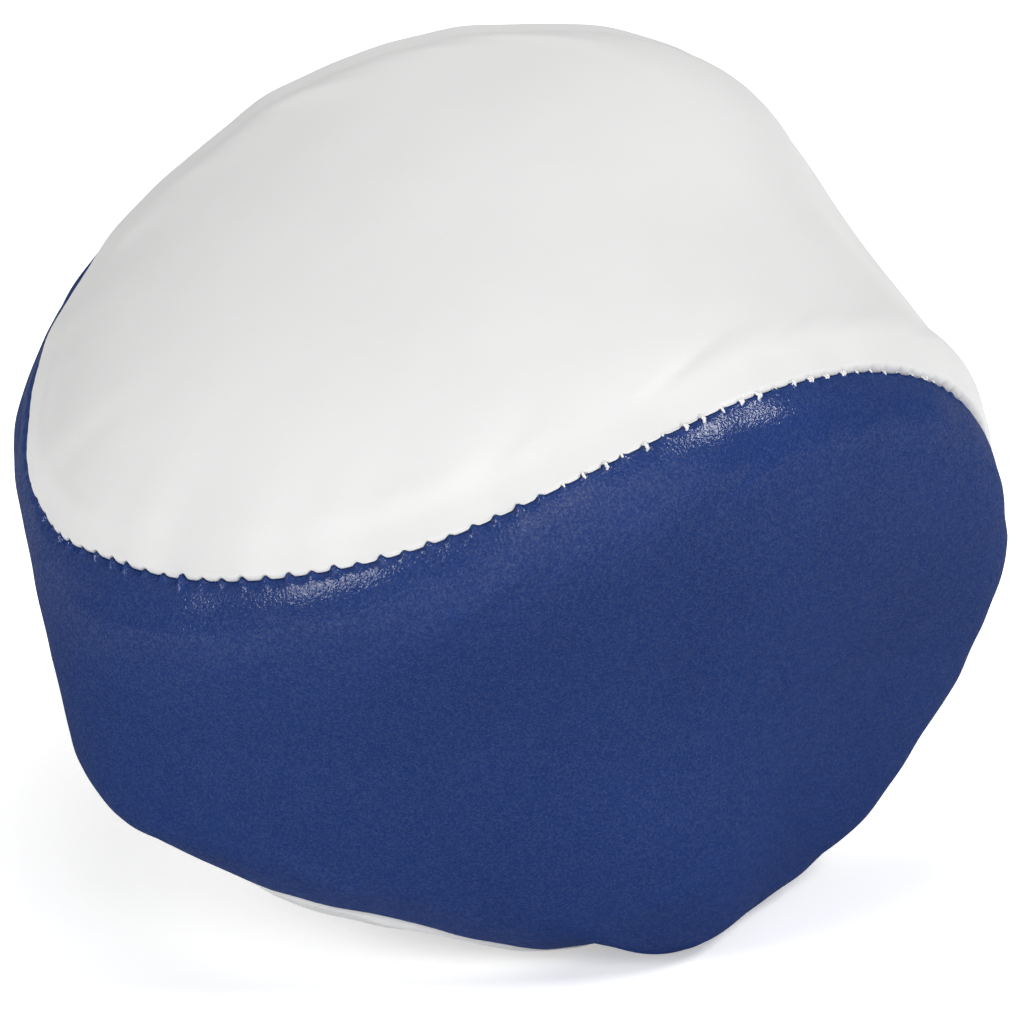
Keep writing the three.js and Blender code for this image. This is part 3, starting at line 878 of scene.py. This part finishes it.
def heap_places(node, covers):
    tree = tree_of(node)
    cover_trees = [tree_of(cover) for cover in covers]
    rise = Vector((0, 0, FILL_RISE)) * MM
    room = (PELLET_DIAMETER / 2 + HEAP_CLEARANCE) * MM
    low, high = (np.array(corner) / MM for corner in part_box(node.name))
    row_step = HEAP_SPACING * math.sqrt(3) / 2
    layer_step = HEAP_SPACING * math.sqrt(2 / 3)

    def fits(spot):
        in_bed = clear_of([tree], spot, PELLET_DIAMETER / 2 * MM) and is_inside(tree, spot)
        return in_bed and all(clear_of(cover_trees, place, room) for place in (spot, spot + rise))

    places = []
    for layer, z in enumerate(np.arange(low[2], high[2], layer_step)):
        first_row = low[1] + (layer % 2) * row_step / 3
        for row, y in enumerate(np.arange(first_row, high[1], row_step)):
            first = low[0] + ((row + layer) % 2) * HEAP_SPACING / 2
            for x in np.arange(first, high[0], HEAP_SPACING):
                if fits(Vector((x, y, z)) * MM):
                    places.append((x, y, z))
    return np.array(places)


def pellet_heap(covers, material):
    random = np.random.default_rng(HEAP_SEED)
    points, faces = pellet_mesh(*HEAP_FINENESS)
    places = heap_places(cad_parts["pellet_bed"], covers)
    parts = [(turned(points, random) + place, faces) for place in places]
    return add_mesh("pellet_heap", *join(parts), material)


def loose_pellet(node, material, random):
    low, high = (np.array(corner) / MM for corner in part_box(node))
    points, faces = pellet_mesh(*LOOSE_FINENESS)
    tilts = [random.uniform(-LOOSE_TILT, LOOSE_TILT) for _ in range(2)]
    turn = np.array(Euler((*tilts, random.uniform(0, TURN))).to_matrix())
    return add_mesh("loose_" + node, points @ turn.T + (low + high) / 2, faces, material)


# Materials


class Look:
    def __init__(self, name):
        self.material = bpy.data.materials.new(name)
        self.material.use_nodes = True
        self.tree = self.material.node_tree
        self.shader = self.tree.nodes["Principled BSDF"]
        self.place = self.node("ShaderNodeTexCoord").outputs["Object"]

    def node(self, kind, **settings):
        made = self.tree.nodes.new(kind)
        for key, value in settings.items():
            setattr(made, key, value)
        return made

    def link(self, output, target):
        self.tree.links.new(output, target)

    def constants(self, **values):
        for key, value in values.items():
            self.shader.inputs[key.replace("_", " ")].default_value = value

    def feed(self, **outputs):
        for key, output in outputs.items():
            self.link(output, self.shader.inputs[key.replace("_", " ")])

    def noise(self, size, detail=2.0, roughness=0.5):
        made = self.node("ShaderNodeTexNoise")
        made.inputs["Scale"].default_value = 1 / (size * MM)
        made.inputs["Detail"].default_value = detail
        made.inputs["Roughness"].default_value = roughness
        self.link(self.place, made.inputs["Vector"])
        return made.outputs["Fac"]

    def cells(self, size, output="Distance"):
        made = self.node("ShaderNodeTexVoronoi")
        made.inputs["Scale"].default_value = 1 / (size * MM)
        self.link(self.place, made.inputs["Vector"])
        return made.outputs[output]

    def ramp(self, value, stops):
        made = self.node("ShaderNodeValToRGB")
        for element, (position, colour) in zip(made.color_ramp.elements, stops):
            element.position = position
            element.color = (*colour, 1)
        self.link(value, made.inputs["Fac"])
        return made.outputs["Color"]

    def spread(self, value, low, high, start=0.0, end=1.0):
        made = self.node("ShaderNodeMapRange")
        made.inputs["From Min"].default_value = start
        made.inputs["From Max"].default_value = end
        made.inputs["To Min"].default_value = low
        made.inputs["To Max"].default_value = high
        self.link(value, made.inputs["Value"])
        return made.outputs["Result"]

    def attribute(self, name):
        return self.node("ShaderNodeAttribute", attribute_name=name).outputs["Fac"]

    def mix(self, share, first, second):
        made = self.node("ShaderNodeMix", data_type="RGBA")
        sockets = {socket.name: socket for socket in made.inputs if socket.type == "RGBA"}
        self.link(share, made.inputs["Factor"])
        self.link(first, sockets["A"])
        sockets["B"].default_value = (*second, 1)
        return [socket for socket in made.outputs if socket.type == "RGBA"][0]

    def bump(self, height, depth, strength, after=None):
        made = self.node("ShaderNodeBump")
        made.inputs["Strength"].default_value = strength
        made.inputs["Distance"].default_value = depth * MM
        self.link(height, made.inputs["Height"])
        if after:
            self.link(after, made.inputs["Normal"])
        return made.outputs["Normal"]


def white_vinyl():
    look = Look("white_vinyl")
    tone = look.ramp(look.noise(size=9.0, detail=3), WHITE_TONES)
    # The white turns greyer over the last ROLL_EDGE of its rolled edge before the groove
    groove_share = look.spread(look.attribute("seam_distance"), low=1.0, high=0.0, start=0.0, end=ROLL_EDGE)
    groove_toned = look.mix(groove_share, tone, WHITE_IN_GROOVE)
    roughness = look.spread(look.noise(size=2.2), low=0.48, high=0.58)
    pores = look.bump(look.cells(size=0.32), depth=0.03, strength=0.16)
    swells = look.bump(look.noise(size=0.9, detail=3), depth=0.05, strength=0.12, after=pores)
    look.feed(Base_Color=groove_toned, Roughness=roughness, Normal=swells)
    look.constants(Specular_IOR_Level=0.4)
    return look.material


def blue_vinyl():
    look = Look("blue_vinyl")
    tone = look.ramp(look.noise(size=7.0, detail=4, roughness=0.6), BLUE_TONES)
    # Lighter flecks in the base colour: partly the vinyl's grain, partly a painted sparkle
    grain_and_painted_sparkle = look.spread(look.noise(size=0.12, detail=1), low=0.0, high=0.5, start=0.42, end=0.75)
    tone_with_painted_sparkle = look.mix(grain_and_painted_sparkle, tone, BLUE_GRAIN_AND_PAINTED_SPARKLE)
    glint = look.ramp(look.cells(size=0.11, output="Color"), GLINTS)
    near_seam = look.attribute("seam_distance")
    polish = look.spread(near_seam, low=EDGE_POLISH, high=1.0, start=1.0, end=NEAR_REACH)
    weight = look.node("ShaderNodeMath", operation="MULTIPLY")
    look.link(glint, weight.inputs[0])
    look.link(polish, weight.inputs[1])
    grain = look.bump(look.noise(size=0.12), depth=0.02, strength=0.5)
    swells = look.bump(look.noise(size=0.8, detail=3), depth=0.04, strength=0.12, after=grain)
    sparkle = look.bump(look.noise(size=0.16, detail=1), depth=0.03, strength=0.9)
    look.feed(Base_Color=tone_with_painted_sparkle, Coat_Weight=weight.outputs[0], Normal=swells, Coat_Normal=sparkle)
    look.constants(Specular_IOR_Level=0.0, Roughness=0.6, Coat_IOR=3.0, Coat_Roughness=0.14)
    return look.material


def white_thread():
    look = Look("white_thread")
    tone = look.ramp(look.noise(size=0.5, detail=3), THREAD_TONES)
    fibres = look.bump(look.noise(size=0.05), depth=0.02, strength=0.4)
    look.feed(Base_Color=tone, Normal=fibres)
    look.constants(Roughness=0.7, Sheen_Weight=0.25)
    return look.material


def pellet_plastic():
    look = Look("pellet_plastic")
    tone = look.ramp(look.noise(size=4.0), PELLET_TONES)
    roughness = look.spread(look.noise(size=0.8), low=0.32, high=0.5)
    dents = look.bump(look.noise(size=0.3), depth=0.03, strength=0.2)
    look.feed(Base_Color=tone, Roughness=roughness, Normal=dents)
    look.constants(Subsurface_Weight=0.15, Subsurface_Scale=0.001)
    return look.material


# Pieces

white_piece = add_panel("white_cover", white, white_vinyl())
blue_piece = add_panel("blue_cover", blue, blue_vinyl())
thread_look = white_thread()
seam_piece = machine_thread(thread_look)
closing_piece = hand_thread(thread_look)
pellet_look = pellet_plastic()
heap_piece = pellet_heap((white_piece, blue_piece), pellet_look)

for piece, node, slot in (
    (white_piece, "white_panel", "white_vinyl"),
    (blue_piece, "blue_panel", "blue_vinyl"),
    (seam_piece, "seam_thread", "white_thread"),
    (closing_piece, "closing_thread", "white_thread"),
):
    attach(piece, "cover")
    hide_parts(node)

loose_random = np.random.default_rng(LOOSE_SEED)
fill_pieces = [(heap_piece, "pellet_bed")]
for node_name in sorted(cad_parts):
    if node_name.startswith("pellet_") and node_name != "pellet_bed":
        fill_pieces.append((loose_pellet(node_name, pellet_look, loose_random), node_name))
for piece, node in fill_pieces:
    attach(piece, "fill")
    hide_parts(node)

# Stage: a pale floor that shows as white apart from the shadow, its glow weaker near the bag, which paints
# deeper shade round it. The camera and mirrored or passing rays meet one shader, and light that bounces
# meets another.


def choose_by_ray(tree, indirect, direct, output):
    path = tree.nodes.new("ShaderNodeLightPath")
    share = path.outputs["Is Camera Ray"]
    for ray in ("Is Glossy Ray", "Is Transmission Ray"):
        either = tree.nodes.new("ShaderNodeMath")
        either.operation = "MAXIMUM"
        tree.links.new(share, either.inputs[0])
        tree.links.new(path.outputs[ray], either.inputs[1])
        share = either.outputs[0]
    choice = tree.nodes.new("ShaderNodeMixShader")
    tree.links.new(share, choice.inputs[0])
    tree.links.new(indirect.outputs[0], choice.inputs[1])
    tree.links.new(direct.outputs[0], choice.inputs[2])
    tree.links.new(choice.outputs[0], output.inputs["Surface"])


def floor_look():
    look = Look("floor")
    lit = look.node("ShaderNodeBsdfDiffuse")
    lit.inputs["Color"].default_value = WHITE
    distance = look.node("ShaderNodeVectorMath", operation="LENGTH")
    look.link(look.place, distance.inputs[0])
    away = distance.outputs["Value"]
    # Less glow within FLOOR_NEAR of the bag paints deeper shade round it, over its real shadow
    glow_with_painted_shade = look.spread(away, FLOOR_GLOW_IN_PAINTED_SHADE, FLOOR_LIFT_FAR, FLOOR_NEAR * MM, FLOOR_FAR * MM)
    lift = look.node("ShaderNodeEmission")
    look.link(glow_with_painted_shade, lift.inputs["Strength"])
    seen = look.node("ShaderNodeAddShader")
    look.link(lit.outputs[0], seen.inputs[0])
    look.link(lift.outputs[0], seen.inputs[1])
    bounce = look.node("ShaderNodeBsdfDiffuse")
    bounce.inputs["Color"].default_value = FLOOR_BOUNCE
    choose_by_ray(look.tree, bounce, seen, look.tree.nodes["Material Output"])
    look.tree.nodes.remove(look.shader)
    return look.material


corners = [
    (side * FLOOR_HALF, end * FLOOR_HALF, -FLOOR_DROP)
    for side, end in ((-1, -1), (1, -1), (1, 1), (-1, 1))
]
floor = add_mesh("floor", corners, [(0, 1, 2, 3)], floor_look())


def light_world():
    world = bpy.data.worlds.new("studio")
    bpy.context.scene.world = world
    world.use_nodes = True
    nodes = world.node_tree.nodes
    ambient = nodes["Background"]
    backdrop = nodes.new("ShaderNodeBackground")
    for background, strength in ((ambient, AMBIENT), (backdrop, BACKDROP)):
        background.inputs["Color"].default_value = WHITE
        background.inputs["Strength"].default_value = strength
    choose_by_ray(world.node_tree, ambient, backdrop, nodes["World Output"])


def soft_lamp(name, azimuth, elevation, width, watts):
    data = bpy.data.lights.new(name, "AREA")
    data.shape = "DISK"
    data.size = width * MM
    data.energy = watts
    lamp = bpy.data.objects.new(name, data)
    toward_lamp = Vector(direction_to(azimuth, elevation))
    lamp.location = (LAMP_AIM + toward_lamp * LAMP_DISTANCE) * MM
    lamp.rotation_mode = "QUATERNION"
    lamp.rotation_quaternion = (-toward_lamp).to_track_quat("-Z", "Y")
    bpy.context.scene.collection.objects.link(lamp)


light_world()
for lamp_values in LAMPS:
    soft_lamp(*lamp_values)

# The camera is placed so that the middle of the bag shows where the photograph has it

body_middle = Vector((-middle[0] - FOOTPRINT[0], -middle[1] - FOOTPRINT[1], -ground + PANEL_PUFF))
tilt = math.radians(CAMERA_ELEVATION)
back = Vector((0, -math.cos(tilt), math.sin(tilt)))
up = Vector((0, math.sin(tilt), math.cos(tilt)))
right = Vector((1, 0, 0))
aim_right = (IMAGE_SIZE / 2 - BODY_PIXEL[0]) / PIXELS_PER_MM
aim_down = (IMAGE_SIZE / 2 - BODY_PIXEL[1]) / PIXELS_PER_MM
camera_data = bpy.data.cameras.new("camera")
camera_data.sensor_width = SENSOR_WIDTH
camera_data.lens = SENSOR_WIDTH * CAMERA_DISTANCE * PIXELS_PER_MM / IMAGE_SIZE
camera_data.clip_start = CLIP_START
camera = bpy.data.objects.new("camera", camera_data)
camera.location = (body_middle + right * aim_right - up * aim_down + back * CAMERA_DISTANCE) * MM
camera.rotation_mode = "QUATERNION"
camera.rotation_quaternion = (-back).to_track_quat("-Z", "Y")
bpy.context.scene.collection.objects.link(camera)
bpy.context.scene.camera = camera
bpy.context.scene.view_settings.view_transform = "Standard"
